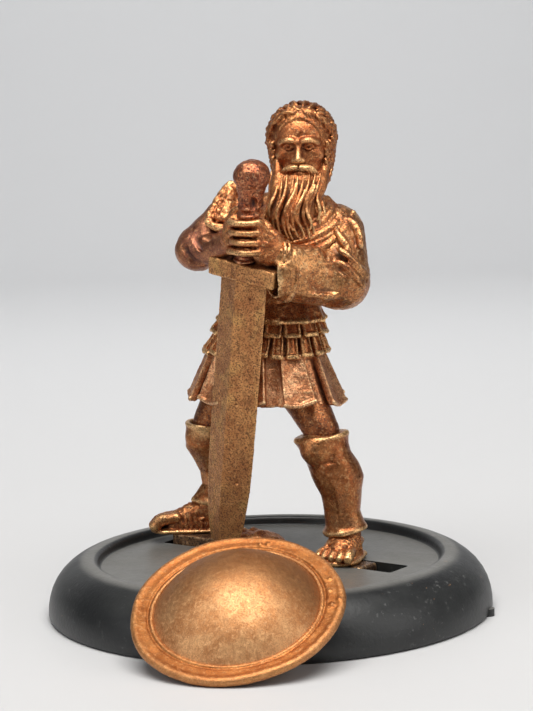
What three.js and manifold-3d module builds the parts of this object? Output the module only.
// A 28 mm scale wargaming miniature on a round lipped base, with a loose round shield.
// A bearded warrior in a long-sleeved tunic, kilt of leather strips, greaves and sandals leans with both
// hands on a broad sword. A tab cast under the feet drops into the slot of the plastic base, and the
// domed shield leans on the base's edge.
// Millimetres, +Z up, -Y towards the front. The design is laid out from the middle of the round base,
// and the finished group is then moved so that its origin is the middle of its footprint on the table.

import * as THREE from "three";
import { mergeVertices } from "three/addons/utils/BufferGeometryUtils.js";
import Module from "manifold-3d";

const wasm = await Module();
wasm.setup();

// ---------------------------------------------------------------- driving dimensions
const GAP = 0.1; // clearance that one piece keeps to the piece that cuts it
const ROUND = 14; // sides of a greave

const BASE = { radius: 15, crest: 3.87, crestRadius: 12.1, recessRadius: 11.6, floor: 3.25, skin: 1.25, wall: 1.5 };
const NUB = { angle: -15, height: 0.4, radius: 0.5 }; // the snipped stub of the moulding's gate
const SLOT = { x: 0.9, y: 1.9, angle: -36, halfLength: 9.5, width: 2.3 };
const TAB = { middle: -0.9, halfLength: 7.9, thick: 2.0, bottom: 0.6, topRight: 3.4, topLeft: 4.0 };

const BODY_YAW = 32; // degrees that the hips and shoulders are turned, left side forward
const PELVIS = v(0.15, 3.8, 17.2);
const CHEST = v(1.42, 3.5, 23.8);
const NECK = v(2.74, 3.1, 26.5);
const HEAD = v(2.89, 2.3, 31.0);

const SWORD = { tip: v(-3.05, 1.6, 4.2), top: v(-0.47, -2.0, 29.36), yaw: 38, width: 4.05, thick: 1.7 };
const GUARD = { at: 23.1, halfLength: 2.7, height: 1.1, thick: 1.75, endThick: 0.9, droop: 0.12 };
const GRIP = { radius: 0.72 };
const POMMEL = { radius: 1.25 };

const SHIELD = { radius: 6.7, rimWidth: 1.25, rimThick: 0.5, domeHeight: 3.2, wall: 0.55, tilt: 27.8 };
const SHIELD_FOOT = { x: -3.5, y: -19.3 }; // where the rim's lowest point stands on the table
const SHIELD_TURN = 14; // degrees that the shield leans towards the base's middle

const MATERIALS = {
  plastic: { color: 0x2b2c2e, roughness: 0.55, metalness: 0 },
  bronze: { color: 0xb06a34, roughness: 0.38, metalness: 0.85 },
  cloth: { color: 0xa9622f, roughness: 0.45, metalness: 0.8 },
  skin: { color: 0xb8703c, roughness: 0.4, metalness: 0.8 },
  blade: { color: 0xa07345, roughness: 0.45, metalness: 0.8 },
  tab: { color: 0x35302b, roughness: 0.6, metalness: 0.1 },
};

// ---------------------------------------------------------------- small helpers
function v(x, y, z) {
  return new THREE.Vector3(x, y, z);
}

function degrees(a) {
  return THREE.MathUtils.degToRad(a);
}

// A manifold solid from a three.js geometry, with a matrix applied.
function solid(geometry, matrix = new THREE.Matrix4()) {
  const bare = new THREE.BufferGeometry();
  const flat = geometry.index ? geometry.toNonIndexed() : geometry;
  bare.setAttribute("position", flat.getAttribute("position").clone());
  bare.applyMatrix4(matrix);
  const merged = mergeVertices(bare, 1e-4);
  const mesh = new wasm.Mesh({
    numProp: 3,
    vertProperties: merged.attributes.position.array,
    triVerts: new Uint32Array(merged.index.array),
  });
  return new wasm.Manifold(mesh);
}

// The largest body of a solid, so that a cut leaves no loose slivers.
function largest(shape) {
  return shape.decompose().sort((a, b) => b.volume() - a.volume())[0];
}

function toGeometry(shape) {
  const mesh = shape.getMesh();
  const geometry = new THREE.BufferGeometry();
  geometry.setAttribute("position", new THREE.BufferAttribute(new Float32Array(mesh.vertProperties), 3));
  geometry.setIndex(new THREE.BufferAttribute(new Uint32Array(mesh.triVerts), 1));
  geometry.computeVertexNormals();
  return geometry;
}

// A matrix that puts the local Z axis along a direction, with a turn about it.
function alongZ(origin, direction, turn = 0) {
  const swing = new THREE.Quaternion().setFromUnitVectors(v(0, 0, 1), direction.clone().normalize());
  const spin = new THREE.Quaternion().setFromAxisAngle(v(0, 0, 1), degrees(turn));
  return new THREE.Matrix4().compose(origin, swing.multiply(spin), v(1, 1, 1));
}

// A lathe solid about Z from an outline of [radius, height] points that starts and ends on the axis.
function turned(outline, sides = ROUND) {
  const points = outline.map(([r, z]) => new THREE.Vector2(Math.max(r, 0), z));
  return new THREE.LatheGeometry(points, sides).rotateX(Math.PI / 2);
}

// A round cone with ball ends between two points, as for a limb. g swells it for a clearance cut.
function limb(a, b, ra, rb, g = 0, flatten = 1) {
  const length = a.distanceTo(b);
  const outline = [];
  const steps = 4;
  for (let i = 0; i <= steps; i++) {
    const t = (-Math.PI / 2) * (1 - i / steps);
    outline.push([(ra + g) * Math.cos(t), (ra + g) * Math.sin(t)]);
  }
  for (let i = 0; i <= steps; i++) {
    const t = ((Math.PI / 2) * i) / steps;
    outline.push([(rb + g) * Math.cos(t), length + (rb + g) * Math.sin(t)]);
  }
  outline[0][0] = 0;
  outline[outline.length - 1][0] = 0;
  const geometry = turned(outline, 12).scale(1, flatten, 1);
  return solid(geometry, alongZ(a, b.clone().sub(a)));
}

function ellipsoid(centre, radii, g = 0, yaw = 0) {
  const geometry = new THREE.SphereGeometry(1, 14, 9);
  geometry.scale(radii.x + g, radii.y + g, radii.z + g).rotateZ(degrees(yaw)).translate(centre.x, centre.y, centre.z);
  return solid(geometry);
}

// An elliptical band of the costume around the hips: rings of {z, x, y, halfX, halfY}, bottom ring first.
function band(rings, g = 0) {
  const outline = [[0, 0]];
  rings.forEach((_, i) => outline.push([1, i]));
  outline.push([0, rings.length - 1]);
  const geometry = turned(outline, 22);
  const p = geometry.getAttribute("position");
  for (let i = 0; i < p.count; i++) {
    const ring = rings[Math.round(p.getZ(i))];
    const last = Math.round(p.getZ(i)) === rings.length - 1;
    const first = Math.round(p.getZ(i)) === 0;
    const local = v(p.getX(i) * (ring.halfX + g), p.getY(i) * (ring.halfY + g), 0);
    local.applyAxisAngle(v(0, 0, 1), degrees(-BODY_YAW));
    p.setXYZ(i, ring.x + local.x, ring.y + local.y, ring.z + (last ? g : 0) - (first ? g : 0));
  }
  return solid(geometry);
}

// ---------------------------------------------------------------- model bookkeeping
const nodes = [];

// Adds a named piece. make(g) returns its solid swollen by g. cutters are earlier pieces that it gives way to.
function piece(name, material, make, cutters = []) {
  let shape = make(0);
  for (const cutter of cutters) {
    shape = shape.subtract(nodes.find((n) => n.name === cutter).make(GAP));
  }
  nodes.push({ name, material, make, shape: largest(shape) });
}

// ---------------------------------------------------------------- base
// A matrix whose X runs along the slot, with the origin at the slot's middle on the table.
const slotMatrix = new THREE.Matrix4().makeRotationZ(degrees(SLOT.angle)).setPosition(SLOT.x, SLOT.y, 0);

function slotCutter() {
  const geometry = new THREE.BoxGeometry(2 * SLOT.halfLength, SLOT.width, 2 * BASE.crest);
  return solid(geometry, slotMatrix);
}

function gateNub() {
  const r = NUB.radius;
  const reach = v(BASE.radius - 0.1, 0, NUB.height).applyAxisAngle(v(0, 0, 1), degrees(NUB.angle));
  return ellipsoid(reach, v(r, r * 0.8, r * 0.7));
}

function baseShell() {
  const { radius, crest, crestRadius, recessRadius, floor, skin, wall } = BASE;
  const outline = [
    [0, floor - skin],
    [radius - wall - 1.0, floor - skin],
    [radius - wall, 0],
    [radius - 0.15, 0],
    [radius, 0.3],
    [radius - 0.12, 1.4],
    [radius - 0.55, 2.4],
    [radius - 1.25, 3.2],
    [radius - 2.1, 3.7],
    [crestRadius, crest],
    [recessRadius, crest - 0.12],
    [recessRadius - 0.1, floor],
    [0, floor],
  ];
  const body = solid(turned(outline, 64));
  return body.add(gateNub()).subtract(slotCutter());
}

// ---------------------------------------------------------------- tab and ground
function tabTop(t) {
  return THREE.MathUtils.lerp(TAB.topLeft, TAB.topRight, t);
}

// The tab's side outline, extruded through its thickness and turned into the slot.
function slotTab(g = 0) {
  const h = TAB.halfLength + g;
  const outline = new THREE.Shape();
  outline.moveTo(-h + 0.4, TAB.bottom - g);
  outline.lineTo(h - 0.4, TAB.bottom - g);
  outline.lineTo(h, tabTop(1) + g);
  outline.lineTo(-h, tabTop(0) + g);
  outline.closePath();
  const thick = TAB.thick + 2 * g;
  const geometry = new THREE.ExtrudeGeometry(outline, { depth: thick, bevelEnabled: false });
  geometry.translate(TAB.middle, 0, -thick / 2).rotateX(Math.PI / 2);
  return solid(geometry, slotMatrix);
}

// The lump of ground that the sword stands on, kept clear of the base's floor.
function groundMound(g = 0) {
  const lump = ellipsoid(v(-1.15, 2.3, 3.9), v(2.4, 1.8, 1.15), g, SLOT.angle);
  return lump.trimByPlane([0, 0, 1], BASE.floor + GAP - g);
}

// ---------------------------------------------------------------- sword
const swordAxis = SWORD.top.clone().sub(SWORD.tip).normalize();

// The point of the sword's axis at height z.
function onSword(z) {
  return SWORD.tip.clone().addScaledVector(swordAxis, (z - SWORD.tip.z) / swordAxis.z);
}

// A matrix whose Z runs up the sword, whose X runs along the guard and whose -Y is the sword's front.
function swordMatrix(z) {
  const x = v(Math.cos(degrees(SWORD.yaw)), -Math.sin(degrees(SWORD.yaw)), 0);
  const y = swordAxis.clone().cross(x).normalize();
  const across = y.clone().cross(swordAxis).normalize();
  return new THREE.Matrix4().makeBasis(across, y, swordAxis).setPosition(onSword(z));
}

// The blade: a lozenge section swept up the axis, narrowing towards the point.
function swordBlade(g = 0) {
  const height = onSword(GUARD.at).distanceTo(SWORD.tip) - GUARD.height / 2 - 0.02;
  const stations = [
    [0, 0.62],
    [1.6, 0.82],
    [4.2, 0.96],
    [7.0, 1.0],
    [height, 1.0],
  ];
  const outline = [[0, 0], ...stations.map(([z]) => [1, z]), [0, height]];
  const geometry = turned(outline, 4);
  const p = geometry.getAttribute("position");
  for (let i = 0; i < p.count; i++) {
    const z = p.getZ(i);
    const share = stations.find(([at]) => Math.abs(at - z) < 1e-3)[1];
    const x = p.getX(i) * (0.5 * SWORD.width * share + 2 * g);
    const y = p.getY(i) * (0.5 * SWORD.thick * Math.sqrt(share) + 2 * g);
    const shift = z < 1e-3 ? -g : z > height - 1e-3 ? g : 0;
    p.setXYZ(i, x, y, z + shift);
  }
  return solid(geometry, swordMatrix(SWORD.tip.z));
}

// The guard: a bar that is thickest at its middle and droops a little at its ends.
function swordGuard(g = 0) {
  const { halfLength, height, thick, endThick, droop } = GUARD;
  const plan = new THREE.Shape();
  const l = halfLength + g;
  const t = thick / 2 + g;
  const e = endThick / 2 + g;
  plan.moveTo(-l, -e);
  plan.lineTo(0, -t);
  plan.lineTo(l, -e);
  plan.lineTo(l, e);
  plan.lineTo(0, t);
  plan.lineTo(-l, e);
  plan.closePath();
  const deep = height + 2 * g;
  const geometry = new THREE.ExtrudeGeometry(plan, { depth: deep, bevelEnabled: false }).translate(0, 0, -deep / 2);
  const p = geometry.getAttribute("position");
  for (let i = 0; i < p.count; i++) p.setZ(i, p.getZ(i) - (droop * Math.abs(p.getX(i))) / halfLength);
  return solid(geometry, swordMatrix(GUARD.at));
}

function swordGrip(g = 0) {
  const low = onSword(GUARD.at + 0.5);
  const high = onSword(SWORD.top.z - 0.4);
  const length = low.distanceTo(high);
  const r = GRIP.radius + g;
  const outline = [
    [0, -g],
    [r * 1.15, -g],
    [r, length * 0.5],
    [r * 1.1, length + g],
    [0, length + g],
  ];
  return solid(turned(outline, 12), alongZ(low, swordAxis));
}

function swordPommel(g = 0) {
  const r = POMMEL.radius;
  return ellipsoid(SWORD.top, v(r, r, r * 0.92), g);
}

// ---------------------------------------------------------------- legs
const LEFT = {
  hip: v(1.6, 3.0, 16.2),
  knee: v(4.05, 0.4, 11.6),
  ankle: v(5.25, -0.3, 5.6),
  heel: v(5.6, 0.35, 3.45),
  toe: v(4.3, -3.6, 3.45),
  girth: 1.1,
};
const RIGHT = {
  hip: v(-1.5, 5.0, 16.2),
  knee: v(-3.9, 5.7, 11.3),
  ankle: v(-3.7, 6.6, 6.2),
  heel: v(-3.3, 6.6, 4.1),
  toe: v(-7.9, 6.8, 4.1),
  girth: 0.86,
};
const SOLE = { thick: 0.35, heelHalf: 1.0, toeHalf: 1.3 };

// A matrix with X from heel to toe and the origin at the heel, on the sole's lower face.
function footMatrix(leg) {
  const forward = leg.toe.clone().sub(leg.heel).setZ(0).normalize();
  const side = v(0, 0, 1).cross(forward);
  return new THREE.Matrix4().makeBasis(forward, side, v(0, 0, 1)).setPosition(leg.heel);
}

function sandalSole(leg, g = 0) {
  const long = leg.toe.distanceTo(leg.heel);
  const { heelHalf, toeHalf, thick } = SOLE;
  const outline = new THREE.Shape();
  outline.absarc(0.2, 0, heelHalf + g, Math.PI / 2, (3 * Math.PI) / 2);
  outline.absarc(long - toeHalf + 0.4, 0, toeHalf + g, -Math.PI / 2, Math.PI / 2);
  outline.closePath();
  const deep = thick + 2 * g;
  const settings = { depth: deep, bevelEnabled: false, curveSegments: 5 };
  return solid(new THREE.ExtrudeGeometry(outline, settings).translate(0, 0, -g), footMatrix(leg));
}

function foot(leg, g = 0) {
  const long = leg.toe.distanceTo(leg.heel);
  const m = footMatrix(leg);
  const at = (x, z) => v(x, 0, z).applyMatrix4(m);
  const instep = limb(at(0.5, 1.35), at(long - 1.4, 0.95), 1.0, 0.75, g);
  const toes = ellipsoid(at(long - 1.0, 0.75), v(1.3, 1.15, 0.6), g, THREE.MathUtils.radToDeg(
    Math.atan2(leg.toe.y - leg.heel.y, leg.toe.x - leg.heel.x)));
  return instep.add(toes);
}

// A greave: a flared cuff at the knee, the swell of the calf and a flared lip at the ankle.
function greave(leg, g = 0) {
  const long = leg.knee.distanceTo(leg.ankle);
  const outline = [
    [0, -0.35 - g],
    [1.5, -0.35 - g],
    [1.15, 0.5],
    [1.35, long * 0.4],
    [1.85, long * 0.72],
    [1.75, long * 0.9],
    [1.65, long + 0.1],
    [1.85, long + 0.6 + g],
    [0, long + 0.6 + g],
  ];
  const swollen = outline.map(([r, z]) => [r > 0 ? r * leg.girth + g : 0, z]);
  return solid(turned(swollen, ROUND), alongZ(leg.ankle, leg.knee.clone().sub(leg.ankle)));
}

function thigh(leg, g = 0) {
  return limb(leg.knee, leg.hip, 1.2 * leg.girth, 1.5, g);
}

// ---------------------------------------------------------------- costume
// The middle line of the body, from the pelvis up to the neck.
function spine(z) {
  const t = THREE.MathUtils.clamp((z - PELVIS.z) / (CHEST.z - PELVIS.z), 0, 1);
  return PELVIS.clone().lerp(CHEST, t);
}

function ring(z, halfX, halfY) {
  const c = spine(z);
  return { z, x: c.x, y: c.y, halfX, halfY };
}

const costume = {
  tunic_skirt: [ring(13.8, 5.5, 4.0), ring(15.6, 4.6, 3.5), ring(16.9, 4.0, 3.1)],
  pteruges_lower_row: [ring(17.0, 4.6, 3.3), ring(18.1, 3.9, 2.8)],
  pteruges_upper_row: [ring(18.2, 4.25, 3.0), ring(19.1, 3.6, 2.6)],
  jerkin_hem: [ring(19.2, 4.0, 2.85), ring(20.5, 3.1, 2.4)],
};

function torso(g = 0) {
  const waist = ring(20.6, 3.0, 2.3);
  const rings = [waist, ring(22.4, 3.3, 2.5), ring(24.2, 3.6, 2.5), ring(25.8, 3.5, 2.1), ring(26.9, 2.3, 1.5)];
  rings[3].x = 1.9;
  rings[4].x = 2.2;
  return band(rings, g);
}

const DRAPE = [v(4.4, 3.6, 27.2), v(4.3, 1.5, 26.8), v(3.25, 0.4, 25.5), v(1.6, -0.1, 24.7), v(-0.1, 0.4, 25.2)];

// A rolled edge of cloth from the left shoulder across the chest.
function shoulderDrape(g = 0) {
  const section = new THREE.Shape().absellipse(0, 0, 0.62 + g, 0.5 + g, 0, 2 * Math.PI);
  const path = new THREE.CatmullRomCurve3(DRAPE);
  const settings = { steps: 12, extrudePath: path, curveSegments: 5, bevelEnabled: false };
  const roll = solid(new THREE.ExtrudeGeometry(section, settings));
  const end = v(0.68, 0.68, 0.68);
  return roll.add(ellipsoid(DRAPE[0], end, g)).add(ellipsoid(DRAPE[DRAPE.length - 1], end, g));
}

// ---------------------------------------------------------------- arms
const ARM_LEFT = { shoulder: v(4.75, 1.7, 25.1), elbow: v(5.4, 0, 22.05), wrist: v(1.9, -2.05, 23.25) };
const ARM_RIGHT = { shoulder: v(-0.7, 4.4, 26.2), elbow: v(-4.2, 2.6, 24.3), wrist: v(-2.2, -0.6, 24.9) };
const FLAP = { top: v(-2.5, 1.7, 27.4), low: v(-3.1, 1.5, 26.0), topRadius: 1.0, lowRadius: 1.35 };
const HAND_LEFT = { centre: v(-0.35, -2.4, 25.0), radii: v(1.45, 1.0, 1.4) };
const HAND_RIGHT = { centre: v(-1.3, -0.95, 25.9), radii: v(1.2, 0.9, 1.5) };

// ---------------------------------------------------------------- hair
// The cap of hair, open over the face.
function hairCap(g = 0) {
  const cap = ellipsoid(v(2.9, 2.75, 31.35), v(2.5, 2.55, 2.75), g);
  const face = new THREE.BoxGeometry(2 * (1.75 - g), 4, 4.6).translate(HEAD.x, HEAD.y - 3.0 - g, HEAD.z - 0.6);
  return cap.subtract(solid(face));
}

// ---------------------------------------------------------------- shield
// A matrix whose Z is the shield's outward axis and whose origin is the middle of its rim.
function shieldMatrix() {
  const uphill = v(Math.sin(degrees(SHIELD_TURN)), Math.cos(degrees(SHIELD_TURN)), 0);
  const up = uphill.clone().multiplyScalar(Math.cos(degrees(SHIELD.tilt))).setZ(Math.sin(degrees(SHIELD.tilt)));
  const side = uphill.clone().cross(v(0, 0, 1));
  const out = side.clone().cross(up);
  const centre = v(SHIELD_FOOT.x, SHIELD_FOOT.y, 0).addScaledVector(up, SHIELD.radius);
  return new THREE.Matrix4().makeBasis(side, up, out).setPosition(centre);
}

// The dome's height at a radius, an elliptical profile.
function domeHeight(r, base, height) {
  return height * Math.sqrt(Math.max(0, 1 - (r / base) ** 2));
}

function shieldDome() {
  const outer = SHIELD.radius - SHIELD.rimWidth - GAP;
  const inner = outer - SHIELD.wall;
  const outline = [];
  const steps = 8;
  for (let i = 0; i <= steps; i++) {
    const r = inner * Math.sin((Math.PI / 2) * (i / steps));
    outline.push([r, domeHeight(r, inner, SHIELD.domeHeight - SHIELD.wall)]);
  }
  for (let i = steps; i >= 0; i--) {
    const r = outer * Math.sin((Math.PI / 2) * (i / steps));
    outline.push([r, domeHeight(r, outer, SHIELD.domeHeight)]);
  }
  return solid(turned(outline, 32), shieldMatrix());
}

function shieldRim() {
  const { radius, rimWidth, rimThick } = SHIELD;
  const inner = radius - rimWidth;
  const outline = [
    [inner, 0.02],
    [radius - 0.12, 0.0],
    [radius, 0.12],
    [radius, rimThick - 0.12],
    [radius - 0.12, rimThick],
    [inner, rimThick],
    [inner, 0.02],
  ];
  return solid(turned(outline, 40), shieldMatrix());
}

// ---------------------------------------------------------------- the pieces, hardest edges first
piece("base_shell", "plastic", baseShell);
piece("shield_rim", "bronze", shieldRim);
piece("shield_dome", "bronze", shieldDome);

piece("left_sandal_sole", "bronze", (g) => sandalSole(LEFT, g));
piece("right_sandal_sole", "bronze", (g) => sandalSole(RIGHT, g));
piece("sword_blade", "blade", swordBlade);
piece("ground_mound", "bronze", groundMound, ["sword_blade", "left_sandal_sole", "right_sandal_sole"]);
piece("slot_tab", "tab", slotTab, ["ground_mound", "left_sandal_sole", "right_sandal_sole", "sword_blade"]);
piece("sword_guard", "blade", swordGuard, ["sword_blade"]);
piece("sword_pommel", "blade", swordPommel);
piece("sword_grip", "blade", swordGrip, ["sword_guard", "sword_pommel"]);

piece("left_greave", "bronze", (g) => greave(LEFT, g));
piece("right_greave", "bronze", (g) => greave(RIGHT, g), ["sword_blade"]);
piece("left_foot", "skin", (g) => foot(LEFT, g), ["left_sandal_sole", "left_greave", "slot_tab"]);
piece("right_foot", "skin", (g) => foot(RIGHT, g), ["right_sandal_sole", "right_greave", "slot_tab"]);

const hips = ["sword_blade", "sword_guard"];
for (const [name, rings] of Object.entries(costume)) {
  piece(name, "cloth", (g) => band(rings, g), hips);
}
piece("left_thigh", "skin", (g) => thigh(LEFT, g), ["left_greave", "tunic_skirt", "sword_blade"]);
piece("right_thigh", "skin", (g) => thigh(RIGHT, g), ["right_greave", "tunic_skirt", "sword_blade"]);

const swordTop = ["sword_grip", "sword_guard", "sword_pommel"];
piece("left_hand", "skin", (g) => ellipsoid(HAND_LEFT.centre, HAND_LEFT.radii, g), swordTop);
piece("right_hand", "skin", (g) => ellipsoid(HAND_RIGHT.centre, HAND_RIGHT.radii, g), [...swordTop, "left_hand"]);
const hands = [...swordTop, "sword_blade", "left_hand", "right_hand"];

piece("left_forearm_sleeve", "cloth", (g) => limb(ARM_LEFT.elbow, ARM_LEFT.wrist, 1.85, 1.65, g), [
  ...hands,
  "jerkin_hem",
]);
piece("right_forearm", "skin", (g) => limb(ARM_RIGHT.elbow, ARM_RIGHT.wrist, 1.25, 0.8, g), hands);
piece("right_sleeve_flap", "cloth", (g) => limb(FLAP.top, FLAP.low, FLAP.topRadius, FLAP.lowRadius, g), [...hands, "right_forearm"]);
piece("head", "skin", (g) => ellipsoid(HEAD, v(1.95, 2.3, 2.75), g), ["sword_pommel"]);
piece("beard", "bronze", (g) => ellipsoid(v(2.7, 0.4, 27.5), v(1.85, 1.15, 2.35), g), [
  "head",
  "sword_pommel",
  "sword_grip",
  "left_hand",
]);
piece("hair", "bronze", hairCap, ["head", "beard", "sword_pommel"]);

const chest = [
  "head",
  "beard",
  "hair",
  "jerkin_hem",
  "left_forearm_sleeve",
  "right_forearm",
  "right_sleeve_flap",
  ...hands,
];
piece("shoulder_drape", "cloth", shoulderDrape, chest);
piece("left_upper_sleeve", "cloth", (g) => limb(ARM_LEFT.shoulder, ARM_LEFT.elbow, 2.05, 1.9, g), [
  ...chest,
  "shoulder_drape",
]);
piece("right_upper_sleeve", "cloth", (g) => limb(ARM_RIGHT.shoulder, ARM_RIGHT.elbow, 2.1, 1.5, g), [
  ...chest,
  "shoulder_drape",
]);
const arms = ["left_upper_sleeve", "right_upper_sleeve", "shoulder_drape"];
piece("torso", "cloth", torso, [...chest, ...arms]);
piece("neck", "skin", (g) => limb(NECK, v(2.84, 2.8, 29.1), 1.2, 1.1, g), ["torso", ...chest, ...arms]);

// ---------------------------------------------------------------- assembly
const model = new THREE.Group();
for (const { name, material, shape } of nodes) {
  const mesh = new THREE.Mesh(toGeometry(shape), new THREE.MeshStandardMaterial(MATERIALS[material]));
  mesh.name = name;
  model.add(mesh);
}

// The origin is the middle of the footprint's box, on the table.
const extent = new THREE.Box3().setFromObject(model);
model.position.set(-(extent.min.x + extent.max.x) / 2, -(extent.min.y + extent.max.y) / 2, -extent.min.z);

export default model;
